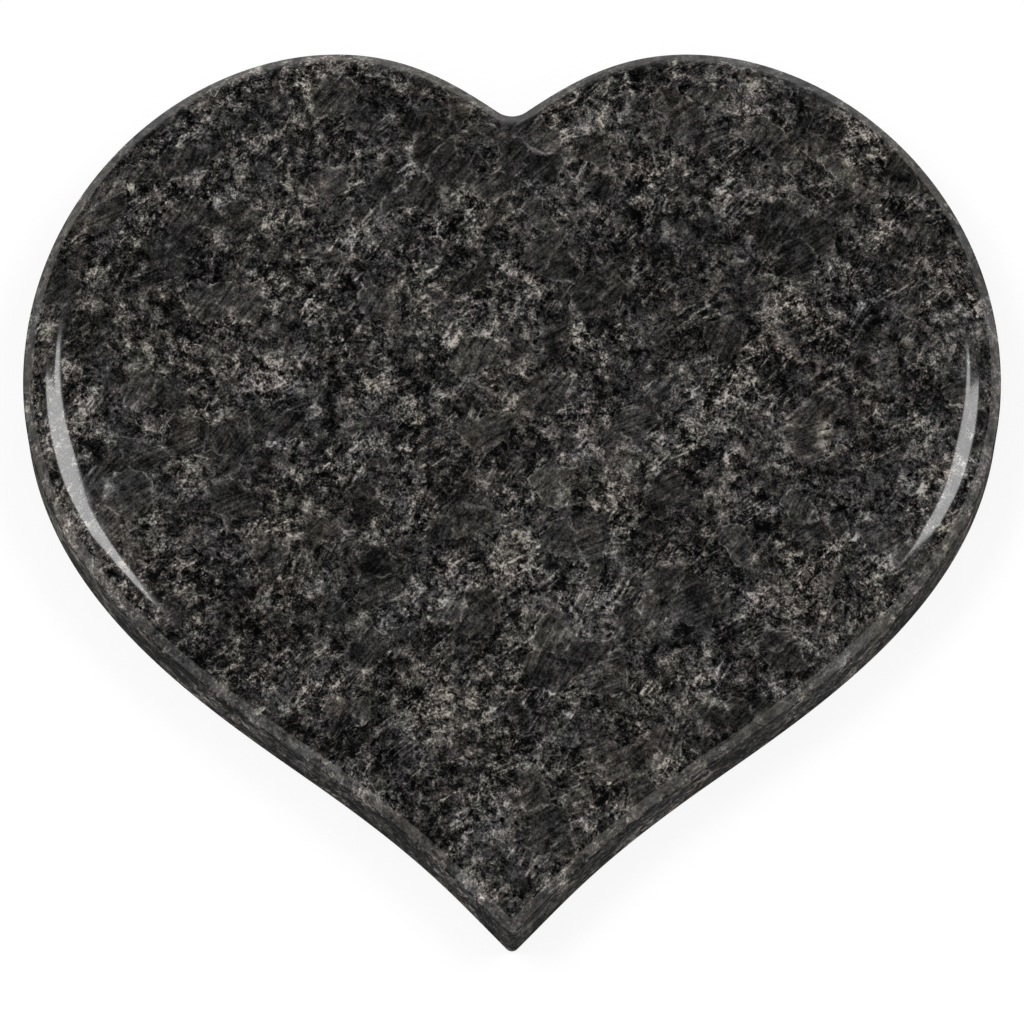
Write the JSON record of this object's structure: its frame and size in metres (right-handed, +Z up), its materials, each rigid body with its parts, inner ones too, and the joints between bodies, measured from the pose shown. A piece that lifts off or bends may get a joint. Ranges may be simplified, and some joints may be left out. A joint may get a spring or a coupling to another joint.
{
  "type": "heart-shaped headstone",
  "caption": "Heart-shaped memorial slab of polished dark granite with a bevelled edge and a softly rolled margin round a flat bare face, lying on its sawn back.",
  "frame": {"origin": "middle of the underside's bounding box, on the surface the stone lies on", "axes": "+X across the heart to its right lobe, +Y from the tip towards the notch, +Z up out of the polished face"},
  "size_m": [0.4, 0.374, 0.04],
  "materials": {
    "granite": "polished face and bevel, honed side wall, sawn back"
  },
  "bodies": {
    "root": {"heart_stone": "granite"}
  },
  "joints": []
}
